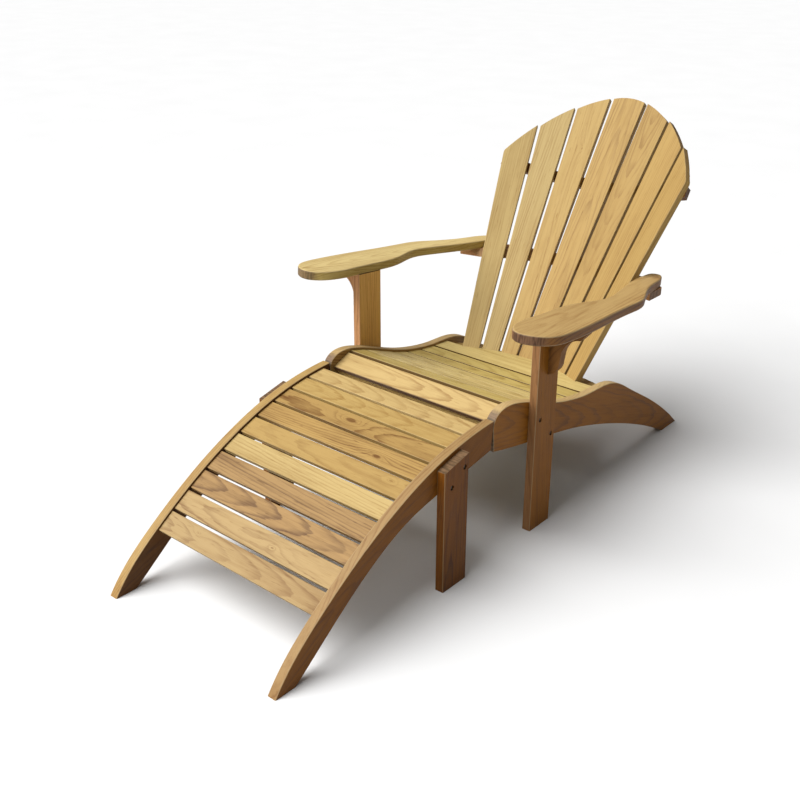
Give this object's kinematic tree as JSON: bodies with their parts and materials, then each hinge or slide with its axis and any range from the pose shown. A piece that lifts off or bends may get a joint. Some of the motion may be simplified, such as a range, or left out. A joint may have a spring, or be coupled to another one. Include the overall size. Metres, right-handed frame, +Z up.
{
  "type": "adirondack chair with footrest",
  "caption": "Slatted wooden lounge chair with a fanned, hollow back and broad arms, and a matching arched footrest that stands in front of it.",
  "frame": {"origin": "on the ground, under the middle of the box round the whole set", "axes": "+Z up; the sitter faces -Y, towards the footrest; +X to the sitter's left"},
  "size_m": [0.792, 1.6973, 0.9111],
  "materials": {
    "teak_rail": "oiled, satin",
    "teak_leg": "oiled, satin",
    "teak_arm": "oiled, satin",
    "teak_seat": "oiled, satin",
    "teak_back": "oiled, satin",
    "teak_footrest": "oiled, satin",
    "bolt_steel": "dulled"
  },
  "bodies": {
    "chair": {"chair_rail_left": "teak_rail", "chair_leg_left": "teak_leg", "arm_left": "teak_arm", "arm_bracket_left": "teak_arm", "chair_rail_right": "teak_rail", "chair_leg_right": "teak_leg", "arm_right": "teak_arm", "arm_bracket_right": "teak_arm", "seat_front_board": "teak_seat", "front_apron": "teak_seat", "seat_slat_1": "teak_seat", "seat_slat_2": "teak_seat", "seat_slat_3": "teak_seat", "seat_slat_4": "teak_seat", "seat_slat_5": "teak_seat", "seat_slat_6": "teak_seat", "seat_rear_board": "teak_seat", "back_slat_1": "teak_back", "back_slat_2": "teak_back", "back_slat_3": "teak_back", "back_slat_4": "teak_back", "back_slat_5": "teak_back", "back_slat_6": "teak_back", "back_slat_7": "teak_back", "lower_back_rail": "teak_back", "arm_support_rail": "teak_back", "top_back_rail": "teak_back", "chair_bolts": "bolt_steel"},
    "footrest": {"footrest_rail_left": "teak_rail", "footrest_leg_left": "teak_leg", "footrest_rail_right": "teak_rail", "footrest_leg_right": "teak_leg", "footrest_slat_01": "teak_footrest", "footrest_slat_02": "teak_footrest", "footrest_slat_03": "teak_footrest", "footrest_slat_04": "teak_footrest", "footrest_slat_05": "teak_footrest", "footrest_slat_06": "teak_footrest", "footrest_slat_07": "teak_footrest", "footrest_slat_08": "teak_footrest", "footrest_slat_09": "teak_footrest", "footrest_slat_10": "teak_footrest", "footrest_cross_rail": "teak_footrest", "footrest_bolts": "bolt_steel"}
  },
  "joints": [
    {"name": "footrest_pull", "type": "slide", "parent": "chair", "child": "footrest", "axis": [0, -1, 0], "range_m": [0, 0.5]}
  ]
}
